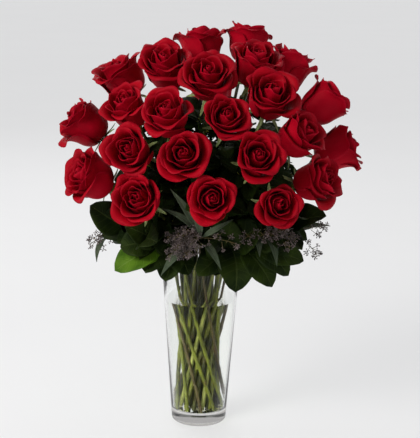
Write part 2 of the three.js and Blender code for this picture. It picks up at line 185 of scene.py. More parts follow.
finish, shader, wire = new_finish("floor_pale")
grain = noise(wire, 3.0, 2.0)
colour = grain.blend((0.29, 0.29, 0.295), (0.32, 0.32, 0.32))
fill(shader, {"Base Color": colour, "Roughness": 0.7})
fill(shader, {"Emission Color": (1, 1, 1, 1), "Emission Strength": FLOOR_GLOW})
floor.data.materials.append(finish)


def soft_lamp(name, place, aim, watts, size, colour):
    """A square lamp that looks from its place at the point that it is aimed at."""
    bpy.ops.object.light_add(type="AREA", location=place)
    lamp = bpy.context.object
    lamp.name = name
    lamp.data.energy = watts
    lamp.data.size = size
    lamp.data.color = colour
    lamp.visible_camera = False
    lamp.visible_transmission = False
    lamp.rotation_euler = (Vector(aim) - Vector(place)).to_track_quat("-Z", "Y").to_euler()
    return lamp


soft_lamp("window_lamp", (-1.7, -1.5, 1.7), BLOOMS, 56, 1.1, (1, 0.985, 0.96))
soft_lamp("room_lamp", (1.9, -1.3, 1.0), BLOOMS, 7, 1.4, (0.96, 0.98, 1))
low_lamp = soft_lamp("low_lamp", (-0.5, -1.9, 0.30), (0, 0, 0.15), 0.08, 0.25, (1, 0.99, 0.96))
low_lamp.data.spread = math.radians(20)
soft_lamp("back_lamp", (-0.6, 1.9, 1.6), BLOOMS, 12, 1.2, (1, 1, 1))
print("stage:", floor.name, "and", len(bpy.data.lights), "lamps")

# %% [markdown]
# ## Sky
#
# Clear glass shows only by the differences in what stands round it, so the sky is pale behind the
# bouquet and darker in front. The camera itself sees it evenly pale from every side.

# %% Sky
PALE_SKY = (0.70, 0.71, 0.73)
DARK_SKY = (0.22, 0.22, 0.23)

world = bpy.data.worlds.new("room")
bpy.context.scene.world = world
world.use_nodes = True
sky = Wire(world.node_tree)
depth = sky.node("SeparateXYZ", {}, {"Vector": sky.node("TexCoord", {}, {}, "Generated")}, "Y")
share = sky.node("MapRange", {}, {"Value": depth, "From Min": -0.4, "From Max": 0.5})
seen = sky.node("LightPath", {}, {}, "Is Camera Ray")
shade = share.blend(DARK_SKY, PALE_SKY)
fill(world.node_tree.nodes["Background"].inputs, {"Color": seen.blend(shade, PALE_SKY)})
bpy.context.scene.view_settings.view_transform = "Standard"
print("sky:", world.name)

# %% [markdown]
# ## Small tools for modelling
#
# An operator works on what is selected, so `only` selects these pieces and no others. What
# repeats is modelled once, as a blank, and each use is a copy with its own mesh. At the end all
# copies that belong to one plain solid are joined, take its place, and ride on the body that it
# rode on.

# %% Modelling tools
def only(*pieces):
    bpy.ops.object.select_all(action="DESELECT")
    for piece in pieces:
        piece.select_set(True)
    bpy.context.view_layer.objects.active = pieces[0]


def copy_of(blank, placing=None):
    twin = blank.copy()
    twin.data = blank.data.copy()
    if placing is not None:
        twin.data.transform(placing)
    bpy.context.collection.objects.link(twin)
    return twin


def joined(pieces, name):
    only(*pieces)
    if len(pieces) > 1:
        bpy.ops.object.join()
    pieces[0].name = name
    pieces[0].data.name = name
    return pieces[0]


def apply_modifier(piece, kind, **settings):
    only(piece)
    modifier = piece.modifiers.new(kind.lower(), kind)
    for name, value in settings.items():
        setattr(modifier, name, value)
    bpy.ops.object.modifier_apply(modifier=modifier.name)


def dress(piece, node):
    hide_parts(node)
    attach(piece, "root")


def thicken(sheet, thickness, *finishes):
    """Gives a sheet its finishes, the second one for its underside, and then its thickness."""
    for finish in finishes:
        sheet.data.materials.append(finish)
    settings = {"thickness": thickness, "offset": 0, "use_even_offset": False}
    apply_modifier(sheet, "SOLIDIFY", material_offset=len(sheet.data.materials) - 1, **settings)
    bpy.ops.object.shade_smooth()
    return sheet


def corners_of(piece):
    """The corners of a mesh as rows of x, y, z."""
    flat = np.empty(3 * len(piece.data.vertices))
    piece.data.vertices.foreach_get("co", flat)
    return flat.reshape(-1, 3)


def set_corners(piece, rows):
    piece.data.vertices.foreach_set("co", np.ascontiguousarray(rows).ravel())
    piece.data.update()


def tube(rows, sides, finish):
    """A closed round tube through rows of (point, radius), made from a curve with a round bevel."""
    only(camera)
    bpy.ops.curve.primitive_bezier_curve_add()
    curve = bpy.context.object
    curve.data.splines.clear()
    spline = curve.data.splines.new("POLY")
    spline.points.add(len(rows) - 1)
    for point, (place, radius) in zip(spline.points, rows):
        point.co = (*place, 1)
        point.radius = radius * 1000
    curve.data.bevel_depth = 0.001
    curve.data.bevel_resolution = max(0, (sides - 4) // 2)
    curve.data.use_fill_caps = True
    curve.data.materials.append(finish)
    only(curve)
    bpy.ops.object.convert(target="MESH")
    bpy.ops.object.shade_smooth_by_angle(angle=math.radians(60))
    return bpy.context.object


print("tools ready")

# %% [markdown]
# ## Glass and water
#
# Clear glass shows by what it bends and mirrors, which its refractive index of 1.5 gives. Water's
# is 1.33. A path tracer hardly gets lamp light through such surfaces, and the stems inside would
# go dark. So the rays that only ask whether a lamp is in sight see a plain transparent surface.
# The thick foot is given a darker tint, a painted shade for the grey of the room that it
# gathers, and glass that touches water hardly mirrors at all.

# %% Clear finishes
GLASS_INDEX = 1.5
WATER_INDEX = 1.333
GLASS_TINT = (0.985, 0.995, 0.99)
GLASS_SHADE = (0.97, 0.98, 0.97)
# The foot's darker tint is painted shade, not the colour of its glass.
FOOT_PAINTED_GREY = (0.56, 0.54, 0.52)
FOOT_SHADE = (0.90, 0.91, 0.90)
WATER_TINT = (0.985, 0.99, 0.96)
WATER_SHADE = (0.82, 0.85, 0.78)


def clear_finish(name, tint, index, shade, mirror):
    """`shade` is what it lets through of a lamp's light, and `mirror` how much it mirrors."""
    finish, shader, wire = new_finish(name)
    fill(shader, {"Base Color": (*tint, 1), "Roughness": 0.0, "IOR": index})
    fill(shader, {"Transmission Weight": 1.0, "Specular Tint": (mirror, mirror, mirror, 1)})
    asks_for_lamp = wire.node("LightPath", {}, {}, "Is Shadow Ray")
    body = Wire(wire.tree, wire.tree.nodes["Principled BSDF"].outputs[0])
    through = wire.node("BsdfTransparent", {}, {"Color": (*shade, 1)})
    both = wire.node("MixShader", {}, {0: asks_for_lamp, 1: body, 2: through})
    fill(wire.tree.nodes["Material Output"].inputs, {"Surface": both})
    return finish, both


glass = clear_finish("clear_glass", GLASS_TINT, GLASS_INDEX, GLASS_SHADE, 0.12)[0]
foot_glass = clear_finish("foot_glass", FOOT_PAINTED_GREY, GLASS_INDEX, FOOT_SHADE, 0.12)[0]
wet_glass = clear_finish("wet_glass", GLASS_TINT, GLASS_INDEX, GLASS_SHADE, 0)[0]
clear_water = clear_finish("clear_water", WATER_TINT, WATER_INDEX, WATER_SHADE, 0)[0]

# Towards both sides the water's surface glows, in place of the bright room that it would mirror.
water_surface, plain = clear_finish("water_surface", WATER_TINT, WATER_INDEX, WATER_SHADE, 0)
sideways = plain.node("SeparateXYZ", {}, {"Vector": own_place(plain)}, "X")
sideways = sideways.math("ABSOLUTE", sideways)
glow = plain.node("Emission", {}, {"Color": (0.80, 0.81, 0.80, 1)})
mixed = plain.node("MixShader", {}, {0: sideways.step(0.033, 0.041) * 0.9, 1: plain, 2: glow})
fill(plain.tree.nodes["Material Output"].inputs, {"Surface": mixed})
print("clear finishes:", glass.name, foot_glass.name, wet_glass.name, water_surface.name)

# %% [markdown]
# ## The vase
#
# It is one piece of glass: a wall that opens from 84 mm at the foot to 120 mm at the rim, on a
# solid floor 20 mm thick. A cylinder gets a wider top, whose face is inset by the wall's
# thickness and pushed down to the floor. Every edge is rounded, because real glass has no sharp
# ones, and light on the roundings draws the vase. Two flat cuts part the dry, the wet and the
# foot's glass.

# %% Vase
import bmesh

FOOT_RADIUS = 0.042
MOUTH_RADIUS = 0.060
VASE_HEIGHT = 0.256
WALL = 0.0032
FLOOR_THICKNESS = 0.020
WATER_LEVEL = 0.196
GLASS_SIDES = 128


def inside_at(z):
    return FOOT_RADIUS + (MOUTH_RADIUS - FOOT_RADIUS) * z / VASE_HEIGHT - WALL


def pick(piece, part, z, low, high):
    """In edit mode, selects faces by their middle, or edges by both ends.

    The points have to be at this height, and at a distance from the axis between low and high.
    """
    bpy.ops.mesh.select_mode(type=part)
    bpy.ops.mesh.select_all(action="DESELECT")
    mesh = bmesh.from_edit_mesh(piece.data)
    for item in mesh.faces if part == "FACE" else mesh.edges:
        points = [item.calc_center_median()] if part == "FACE" else [v.co for v in item.verts]
        level = all(abs(point.z - z) < 1e-5 for point in points)
        item.select_set(level and all(low < math.hypot(*point.xy) < high for point in points))
    bmesh.update_edit_mesh(piece.data)


def pick_middle(piece, z):
    pick(piece, "FACE", z, -1, 1e-4)


def round_edges(piece, z, radius, size, segments):
    """Rounds the edges of the ring that has this height, and this radius at its outer side."""
    pick(piece, "EDGE", z, radius - 1e-4, radius + 1e-4)
    bpy.ops.mesh.bevel(offset=size, segments=segments)


def inset(width, rise=0.0):
    bpy.ops.mesh.inset(thickness=width)
    if rise:
        bpy.ops.transform.translate(value=(0, 0, rise))


def add_cylinder(radius, low, high, sides):
    bpy.ops.object.select_all(action="DESELECT")
    settings = {"depth": high - low, "location": (0, 0, (low + high) / 2)}
    bpy.ops.mesh.primitive_cylinder_add(vertices=sides, radius=radius, **settings)
    bpy.ops.object.transform_apply(location=True, rotation=False, scale=False)
    bpy.ops.object.mode_set(mode="EDIT")
    return bpy.context.object


def extrude(shift, rise):
    bpy.ops.mesh.extrude_region_move(TRANSFORM_OT_translate={"value": (0, shift, rise)})


def scale_selected(factor, height):
    bpy.ops.transform.resize(value=(factor, factor, 1), center_override=(0, 0, height))


def end_shaping(piece, name, degrees, *finishes):
    """Leaves edit mode, and shades the piece smooth where faces meet at less than this angle."""
    bpy.ops.object.mode_set(mode="OBJECT")
    bpy.ops.object.shade_smooth_by_angle(angle=math.radians(degrees))
    piece.name = name
    for finish in finishes:
        piece.data.materials.append(finish)


vase = add_cylinder(FOOT_RADIUS, 0, VASE_HEIGHT, GLASS_SIDES)
pick_middle(vase, VASE_HEIGHT)
scale_selected(MOUTH_RADIUS / FOOT_RADIUS, VASE_HEIGHT)
inset(WALL)
extrude(0, FLOOR_THICKNESS - VASE_HEIGHT)
scale_selected(inside_at(FLOOR_THICKNESS) / (MOUTH_RADIUS - WALL), FLOOR_THICKNESS)
for cut in (WATER_LEVEL, FLOOR_THICKNESS - 0.0005):
    bpy.ops.mesh.select_all(action="SELECT")
    bpy.ops.mesh.bisect(plane_co=(0, 0, cut), plane_no=(0, 0, 1))
round_edges(vase, 0, FOOT_RADIUS, 0.005, 6)
round_edges(vase, FLOOR_THICKNESS, inside_at(FLOOR_THICKNESS), 0.004, 6)
pick(vase, "EDGE", VASE_HEIGHT, 0, 1)
bpy.ops.mesh.bevel(offset=0.00145, segments=5)
pick_middle(vase, 0)
inset(0.003)
inset(0.004, 0.0012)
inset(0.008, 0.0008)
pick_middle(vase, FLOOR_THICKNESS)
inset(0.002)
end_shaping(vase, "glass_vase", 40, glass, wet_glass, foot_glass)
for face in vase.data.polygons:
    within = math.hypot(face.center.x, face.center.y) < inside_at(face.center.z) + 0.0005
    if within and FLOOR_THICKNESS - 0.0001 < face.center.z < WATER_LEVEL:
        face.material_index = 1
    elif face.center.z < FLOOR_THICKNESS - 0.0005:
        face.material_index = 2
dress(vase, "vase")
print(vase.name, [round(c, 4) for c in vase.dimensions], len(vase.data.polygons), "faces")

# %% [markdown]
# ## The water
#
# The water fills the vase up to three quarters. It is a body of its own, a tenth of a millimetre
# clear of the glass, so that light bends once more where it enters. Where they meet it climbs by
# another tenth.

# %% Water
FILM = 0.0001
CLIMB = 0.0001

low = FLOOR_THICKNESS + FILM
top = WATER_LEVEL + CLIMB
water = add_cylinder(inside_at(low) - FILM, low, top, GLASS_SIDES)
pick_middle(water, top)
scale_selected((inside_at(top) - FILM) / (inside_at(low) - FILM), WATER_LEVEL)
inset(0.0015, -CLIMB)
inset(0.004)
round_edges(water, low, inside_at(low) - FILM, 0.004, 6)
pick_middle(water, low)
inset(0.002)
end_shaping(water, "water_body", 50, clear_water, water_surface)
for face in water.data.polygons:
    if face.center.z > WATER_LEVEL - 0.001 and face.normal.z > 0.5:
        face.material_index = 1
dress(water, "water")
print(water.name, [round(c, 4) for c in water.dimensions])

# %% [markdown]
# ## Green finishes
#
# A rose stem is yellow-green, with streaks and flushes of brown and red and a dull shine. A leaf
# has a rib, side veins, a dark waxy upper side and a paler underside. Its finish reads the leaf's
# own map, so that the veins follow the blade: `across` runs from side to side and `along` from
# root to tip.

# %% Stem and leaf finishes
def stem_finish(name, young, old, flush, roughness):
    finish, shader, wire = new_finish(name)
    drawn = wire.node("Mapping", {}, {"Vector": own_place(wire), "Scale": (1.0, 1.0, 0.16)})
    streaks = noise(wire, 420.0, 3.0, drawn)
    patches = noise(wire, 26.0, 3.0).step(0.42, 0.66)
    flushes = noise(wire, 48.0, 4.0).step(0.55, 0.72)
    colour = (flushes * 0.7).blend(patches.blend(young, old), flush)
    colour = (streaks.step(0.45, 0.75) * 0.5).blend(colour, tuple(c * 2.0 for c in young))
    fill(shader, {"Base Color": colour, "Roughness": roughness - 0.1 + 0.2 * streaks})
    fill(shader, {"Specular IOR Level": 0.4, "Normal": bump(wire, streaks, 0.0004)})
    return finish


# Rows of side veins along a leaf, and how sharp they are.
VEINS = {"salal": (7, 0.42), "rose": (9, 0.40), "eucalyptus": (14, 0.45)}


def leaf_finish(name, dark, light, vein, roughness):
    finish, shader, wire = new_finish(name)
    side_veins, sharpness = VEINS[name.split("_")[0]]
    across, along = map_axes(wire)
    side = across.math("ABSOLUTE", across)
    rib = 1 - side.step(0.015, 0.07)
    rows = along * side_veins - side * (side_veins * 0.2)
    off_row = rows.math("ABSOLUTE", rows.math("FRACT", rows) - 0.5)
    veins = off_row.step(sharpness, 0.5) * (1 - side.step(0.7, 1.0))
    patches = noise(wire, 34.0, 4.0).step(0.35, 0.7)
    fine = noise(wire, 900.0, 2.0)
    colour = (veins * 0.25).blend(patches.blend(dark, light), vein)
    roughness = roughness + 0.22 * fine - 0.08 * patches
    fill(shader, {"Base Color": (rib * 0.6).blend(colour, vein), "Roughness": roughness})
    fill(shader, {"Specular IOR Level": 0.1, "Specular Tint": (0.7, 0.9, 0.4, 1)})
    fill(shader, {"Normal": bump(wire, 0.16 * fine - veins * 0.8 - rib, 0.0006, 0.8)})
    return finish


# Name, young skin, old skin, flush, roughness.
# The three barks are colours that stems have. The olive one is darkened further as painted shade
# for the inside of the bundle, and the pale one is painted light for the lit outside.
*rose_barks, salal_bark, gum_bark, sepal_skin = [stem_finish(*row) for row in (
    ("rose_stem_green", (0.165, 0.18, 0.022), (0.026, 0.033, 0.003), (0.09, 0.055, 0.02), 0.35),
    ("rose_stem_olive_and_shade", (0.045, 0.050, 0.006), (0.010, 0.013, 0.002), (0.05, 0.022, 0.008), 0.4),
    ("rose_stem_pale_and_lit", (0.27, 0.29, 0.07), (0.09, 0.11, 0.010), (0.15, 0.10, 0.03), 0.35),
    ("salal_stem_skin", (0.15, 0.17, 0.015), (0.06, 0.07, 0.008), (0.10, 0.05, 0.015), 0.4),
    ("eucalyptus_stem_skin", (0.09, 0.07, 0.02), (0.035, 0.026, 0.010), (0.08, 0.03, 0.015), 0.5),
    ("sepal_skin", (0.22, 0.29, 0.10), (0.12, 0.18, 0.05), (0.22, 0.20, 0.10), 0.5),
)]
cut_pith, pith_shader, _ = new_finish("cut_pith")
fill(pith_shader, {"Base Color": (0.45, 0.43, 0.25, 1)})

# Name, dark patches, light patches, veins, roughness.
salal_top, salal_under, lit_through_top, leaf_top, leaf_under, gum_top = [leaf_finish(*row) for row in (
    ("salal_top", (0.005, 0.010, 0.003), (0.016, 0.028, 0.004), (0.034, 0.048, 0.012), 0.42),
    ("salal_under", (0.012, 0.026, 0.006), (0.028, 0.055, 0.012), (0.05, 0.08, 0.025), 0.5),
    # Brighter green than the other salal tops: painted light, for light shining through the leaf
    # from behind.
    ("salal_young_top", (0.035, 0.085, 0.006), (0.085, 0.17, 0.012), (0.12, 0.2, 0.03), 0.36),
    ("rose_leaf_top", (0.004, 0.008, 0.002), (0.012, 0.024, 0.003), (0.02, 0.04, 0.01), 0.62),
    ("rose_leaf_under", (0.012, 0.026, 0.006), (0.024, 0.046, 0.010), (0.05, 0.08, 0.03), 0.7),
    ("eucalyptus_leaf", (0.035, 0.05, 0.032), (0.075, 0.095, 0.06), (0.12, 0.14, 0.09), 0.6),
)]
print("green finishes:", len(rose_barks), "rose barks,", salal_top.name, leaf_top.name)

# %% [markdown]
# ## Lines of the stems
#
# In the glass the stems are nearly straight. They stand in four rings, and every second ring is
# twisted the other way, so that they cross. Above the mouth each follows an arc to its flower.
# These are the plain solids' lines: a point on the floor, one in the mouth, and a curve with two
# handles from there. The finished stems bow a little from them, and some touch.

# %% Stem lines
FLOOR_SPREAD = 0.0345
MOUTH_SPREAD = 0.052
TWIST = 115
OUTER_RING = 0.7
MIDDLE_RING = 0.45
GREEN_RING = 0.93
MOUTH_HEIGHT = 0.262
FOOT_HEIGHT = 0.0213
UP = Vector((0, 0, 1))
GOLDEN_TURN = 137.5  # degrees from one leaf, petal or seed of a plant to the next

# Radius at the foot, radius at the top, and the gap between knots.
ROSE_STEM = (0.0029, 0.0025, 0.046)
SALAL_STEM = (0.0026, 0.0013, 0.030)
GUM_STEM = (0.0022, 0.0011, 0.034)

BOW = 0.0045
KNOT_SWELL = 0.16
KNOT_WIDTH = 0.0028
ROW_GAP = 0.009
ROW_GAP_AT_KNOT = 0.0016


def facing(bearing, lean):
    """The way to a bearing (0 is the front, 90 the right), this many degrees from straight up."""
    level = math.sin(math.radians(lean))
    turn = math.radians(bearing)
    return Vector((math.sin(turn) * level, -math.cos(turn) * level, math.cos(math.radians(lean))))


def stem_line(ring, bearing, end, direction, rise):
    """Foot, mouth, the two handles of the arc, and its end."""
    twist = -TWIST if ring in (MIDDLE_RING, GREEN_RING) else TWIST
    foot = facing(bearing - twist, 90) * ring * FLOOR_SPREAD
    foot.z = FOOT_HEIGHT
    mouth = facing(bearing, 90) * ring * MOUTH_SPREAD
    mouth.z = MOUTH_HEIGHT
    reach = rise * (end - mouth).length
    return foot, mouth, mouth + (mouth - foot).normalized() * reach, end - direction * reach, end


def arc_point(line, share):
    a, b, c, d = line[1:]
    rest = 1 - share
    return a * rest**3 + b * 3 * rest**2 * share + c * 3 * rest * share**2 + d * share**3


def arc_way(line, share):
    return (arc_point(line, share + 0.002) - arc_point(line, share - 0.002)).normalized()


def off_twig(along, turn):
    """A direction square to a twig's own, turned round it."""
    out = along.orthogonal().normalized()
    out.rotate(Matrix.Rotation(turn, 3, along))
    return out


def stem_rows(line, foot_radius, top_radius, knot_gap, rng):
    """Rows of (point, radius) up a stem, which bows a little in the glass and swells at knots."""
    foot, mouth = line[0], line[1]
    bow = facing(rng.uniform(0, 360), 90) * rng.uniform(0, BOW)
    points = [foot.lerp(mouth, i / 400) + bow * math.sin(math.pi * i / 400) for i in range(400)]
    points += interpolate_bezier(mouth, line[2], line[3], line[4], 600)
    rows, walked, next_row = [], 0.0, 0.0
    next_knot = rng.uniform(0.3, 1.0) * knot_gap
    for i, point in enumerate(points):
        if i:
            walked += (point - points[i - 1]).length
        to_knot = min(abs(walked - next_knot), abs(walked - next_knot + knot_gap))
        share = i / (len(points) - 1)
        if walked >= next_row or share == 1:
            swell = 1 + KNOT_SWELL * math.exp(-((to_knot / KNOT_WIDTH) ** 2))
            rows.append((point, (foot_radius + (top_radius - foot_radius) * share) * swell))
            next_row = walked + (ROW_GAP_AT_KNOT if to_knot < 2.5 * KNOT_WIDTH else ROW_GAP)
        if walked > next_knot + knot_gap / 2:
            next_knot += knot_gap * rng.uniform(0.8, 1.25)
    return rows


print("rings of stems:", OUTER_RING, MIDDLE_RING, GREEN_RING)

# %% [markdown]
# ## Leaves from one flat blank
#
# A leaf could be cut out of a sheet and bent by hand, but hundreds of leaves need a rule. The
# blank is a flat grid with a map. `lay_leaf` copies it, narrows it to a pointed outline with
# small teeth, folds it up a little along its rib, arches it from root to tip, and waves its
# margins. Then the leaf gets its thickness, with the paler finish on its underside.

# %% Leaf blank
def flat_blank(name, across, along):
    bpy.ops.object.select_all(action="DESELECT")
    bpy.ops.mesh.primitive_grid_add(x_subdivisions=across, y_subdivisions=along, size=2)
    blank = bpy.context.object
    blank.name = name
    return blank


ARCH = 0.45
FOLD = 0.25
LEAF_THICKNESS = 0.0005


def broad_outline(s):
    """Half width along a broad leaf: a short stalk, a round base, and a drawn-out tip."""
    body = np.clip((s - 0.07) / 0.93, 0, 1)
    return np.sin(np.pi * body**0.92) ** 0.58


def narrow_outline(s):
    body = np.clip((s - 0.05) / 0.95, 0, 1)
    return np.sin(np.pi * body**0.85)


def new_blade(blank):
    """A copy of a blank, with its corners' places across it, -1 to 1, and along it, 0 to 1."""
    blade = copy_of(blank)
    flat = corners_of(blade)
    return blade, flat[:, 0], (flat[:, 1] + 1) / 2


def lay_leaf(blank, finishes, base, tip, width, upper, rng, outline=broad_outline, teeth=0.02):
    blade, across, along = new_blade(blank)
    length = (tip - base).length
    forward = (tip - base).normalized()
    side = forward.cross(upper).normalized()
    normal = side.cross(forward)
    saw = 1 + teeth * (np.mod(along * 17 + 0.5, 1.0) - 0.5)
    half = np.maximum(0.5 * width * outline(along) * saw, 0.0007 * (1.2 - along))
    margin = np.abs(across)
    phase = rng.uniform(0, 6.28, 3)
    wave = 0.10 * np.sin(9 * along + phase[0] + 2.2 * np.sign(across)) * margin**2
    wave += 0.04 * np.sin(21 * along + phase[1]) * margin**3
    height = ARCH * along * (1 - along) * length + (FOLD * margin + wave) * half
    height -= rng.uniform(0.0, 0.10) * length * along**3
    drift = rng.uniform(-0.05, 0.05) * length * np.sin(np.pi * along)
    rows = np.outer(along * length, forward) + np.outer(across * half + drift, side)
    set_corners(blade, rows + np.outer(height, normal) + np.array(base))
    return thicken(blade, LEAF_THICKNESS, *finishes)


broad_blank = flat_blank("broad_leaf_blank", 10, 18)
small_blank = flat_blank("small_leaf_blank", 6, 11)
narrow_blank = flat_blank("narrow_leaf_blank", 6, 14)
print("leaf blanks:", len(broad_blank.data.polygons), len(narrow_blank.data.polygons))

# %% [markdown]
# ## Hip, sepals and thorns
#
# Under each rose head the stem swells into a green cup, the hip, from which five narrow sepals
# fold out. The cup is a short cylinder whose top face is extruded and scaled step by step, as a
# turner would shape a knob. A thorn has a broad foot and a tip that bends down. Both are modelled
# once, standing on the origin.

# %% Hip, sepals and thorn
HIP_LENGTH = 0.014
# Heights and radii of the cup, from its foot up.
HIP_SHAPE = [
    (0.001, 0.0026), (0.003, 0.0031), (0.0055, 0.0046),
    (0.0085, 0.0062), (0.011, 0.0066), (0.013, 0.0058),
]

height, radius = HIP_SHAPE[0]
hip = add_cylinder(radius, 0, height, 16)
pick_middle(hip, height)
for next_height, next_radius in HIP_SHAPE[1:]:
    extrude(0, next_height - height)
    scale_selected(next_radius / radius, next_height)
    height, radius = next_height, next_radius
end_shaping(hip, "hip_blank", 60, rose_barks[0])


def draw_out(*steps):
    """Extrudes the selected face in steps: how far it shifts and rises, and how it narrows."""
    for shift, rise, factor in steps:
        extrude(shift, rise)
        bpy.ops.transform.resize(value=(factor, factor, 1))


thorn = add_cylinder(0.0019, 0, 0.0006, 8)
pick_middle(thorn, 0.0006)
draw_out((0, 0.0014, 0.55), (-0.0005, 0.0016, 0.5), (-0.0009, 0.0013, 0.15))
end_shaping(thorn, "thorn_blank", 60, rose_barks[0])


def lay_sepal(turn, droop, curl):
    """A narrow pointed blade that folds out from the hip's top edge, drawn round the hip's axis."""
    sepal, across, along = new_blade(narrow_blank)
    out = 0.0048 + 0.026 * along
    half = 0.0034 * (1 - along) ** 0.7 * (0.75 + 0.9 * along) + 0.0003
    height = 0.0128 - droop * 0.020 * along**1.3 + curl * 0.012 * along**3
    height += 0.35 * np.abs(across) * half
    rows = np.stack([out, across * half + 0.0015 * np.sin(3 * along), height], 1)
    set_corners(sepal, rows @ np.array(Matrix.Rotation(-turn, 3, "Z")))
    return thicken(sepal, LEAF_THICKNESS, sepal_skin)


print("hip and thorn:", len(hip.data.polygons), len(thorn.data.polygons), "faces")

# %% [markdown]
# ## A rose leaf
#
# A rose leaf has three leaflets with fine teeth on one stalk, one at its end and two at its
# sides. Three are laid flat, with the stalk along Y, and copied to where they grow.

# %% Rose leaf
leaf_chance = np.random.default_rng(5)


def leaflet(base, tip, width):
    shape = (Vector(base), Vector(tip), width, UP, leaf_chance)
    return lay_leaf(small_blank, (leaf_top, leaf_under), *shape, teeth=0.08)


def lay_rose_leaf():
    stalk = [Vector((0, 0.064 * i / 8 * 0.45, 0.0061 * math.sin(0.17 * i))) for i in range(9)]
    parts = [
        tube([(point, 0.0009) for point in stalk], 6, rose_barks[0]),
        leaflet((0, 0.022, 0.0055), (0, 0.065, 0.000), 0.029),
        leaflet((0.001, 0.017, 0.0050), (0.035, 0.018, 0.006), 0.021),
        leaflet((-0.001, 0.017, 0.0050), (-0.035, 0.018, 0.006), 0.021),
    ]
    return joined(parts, "rose_leaf_blank")


leaf_blanks = [lay_rose_leaf() for _ in range(3)]
print("rose leaf blanks:", len(leaf_blanks), "of", len(leaf_blanks[0].data.polygons), "faces")

# %% [markdown]
# ## The roses' places
#
# One row for each rose, as in the plain solids. The outer ring of 13 stems comes first, then the
# middle ring of 8, then the inner ring of 3. How far open a rose is was read from the picture,
# head by head. Four heads differ by a few millimetres from their solids, because the picture
# shows them so.

# %% Rose table
HEAD_WIDTH = 0.072
HEAD_MIDDLE = 0.035

# Ring, bearing of its first stem, and its roses: x, y, z in millimetres, bearing, lean, width,
# where its leaf grows (share of the arc, turn round the stem), and how far open it is.
ROSES = [
    (OUTER_RING, -152, [
        (-125, 30, 532, -70, 30, 74, (0.55, 30), 0.5),
        (-180, 10, 462, -82, 54, 75, None, 0.4),
        (-166, -50, 392, -62, 62, 74, (0.6, -40), 0.3),
        (-101, -112, 444, -22, 68, 67, None, 0.4),
        (-89, -128, 376, -18, 66, 69, None, 0.35),
        (15, -158, 387, 2, 78, 64, None, 0.7),
        (109, -134, 375, 14, 78, 61, None, 0.6),
        (139, -88, 467, 52, 52, 68, None, 0.4),
        (166, -85, 402, 55, 68, 72, (0.6, 60), 0.4),
        (205, 20, 428, 92, 60, 77, None, 0.5),
        (181, 40, 498, 98, 46, 75, (0.6, 0), 0.5),
        (128, 70, 544, 110, 26, 77, None, 0.4),
        (15, 128, 478, 178, 58, 70, (0.55, 0), 0.5),
    ]),
    (MIDDLE_RING, -151, [
        (-5, 68, 575, 180, 8, 74, None, 0.5),
        (-57, 0, 552, -15, 32, 76, (0.72, 0), 0.6),
        (-110, -46, 496, -40, 38, 66, (0.6, 0), 0.4),
        (-26, -148, 446, -8, 68, 69, None, 0.5),
        (77, -147, 444, 10, 62, 68, (0.6, 20), 0.4),
        (96, -65, 518, 14, 44, 76, (0.72, 60), 0.6),
        (75, 6, 556, 30, 26, 73, None, 0.5),
        (65, 88, 582, 130, 14, 70, (0.7, -50), 0.5),
    ]),
    (0.2, -60, [
        (-50, -108, 496, -12, 46, 71, (0.7, 40), 0.5),
        (33, -119, 495, 5, 58, 66, (0.65, -60), 0.5),
        (6, -50, 543, 2, 42, 76, None, 0.9),
    ]),
]


def metres(*millimetres):
    return tuple(value / 1000 for value in millimetres)


def rose_rows():
    """Number, row, ring and bearing of every rose's stem."""
    number = 0
    for ring, first, rows in ROSES:
        for i, row in enumerate(rows):
            number += 1
            yield number, row, ring, first + 360 * i / len(rows)


def standing(point, way, size=1.0, spin=0.0):
    """Stands a pattern drawn along +Z on a point, turned to a direction."""
    turn = UP.rotation_difference(way).to_matrix().to_4x4()
    spun = Matrix.Rotation(math.radians(spin), 4, "Z")
    return Matrix.Translation(point) @ turn @ spun @ Matrix.Scale(size, 4)


print("roses:", sum(1 for _ in rose_rows()))

# %% [markdown]
# ## Rose stems
#
# Each stem is a tube along its line. Its foot is cut off at a slant, as a florist does so that it
# drinks, by a bisect that fills the cut. Thorns are left only above the glass. Leaves grow where
# the plain solids have them, and 13 more on each stem fill the dark spaces between the heads.

# %% Rose stems
INTO_HIP = 0.003  # how far the stem's line runs into the hip
FILLING_LEAVES = 13
CUT_HEIGHT = 0.0028  # above the foot, at the stem's middle
HIGHEST_CUT = 0.006


def leaf_place(line, share, turn):
    """Where a leaf grows from an arc, and which way it points, turned round it from outward."""
    start = arc_point(line, share)
    along = arc_way(line, share)
    out = Vector((start.x, start.y, 0)).normalized()
    out = (out - along * out.dot(along)).normalized()
    out.rotate(Matrix.Rotation(math.radians(turn), 3, along))
    forward = (out * 0.85 + along * 0.5).normalized()
    side = forward.cross(along).normalized()
    turned = Matrix((side, forward, side.cross(forward))).transposed().to_4x4()
    return Matrix.Translation(start) @ turned


def cut_foot(stem, foot, slant):
    only(stem)
    bpy.ops.object.mode_set(mode="EDIT")
    bpy.ops.mesh.select_all(action="SELECT")
    plane = {"plane_co": foot + UP * CUT_HEIGHT, "plane_no": slant}
    bpy.ops.mesh.bisect(**plane, use_fill=True, clear_inner=True)
    bpy.ops.object.mode_set(mode="OBJECT")
    stem.data.materials.append(cut_pith)
    for face in stem.data.polygons:
        if face.center.z < foot.z + HIGHEST_CUT and face.normal.dot(slant) < -0.98:
            face.material_index = 1
            face.use_smooth = False


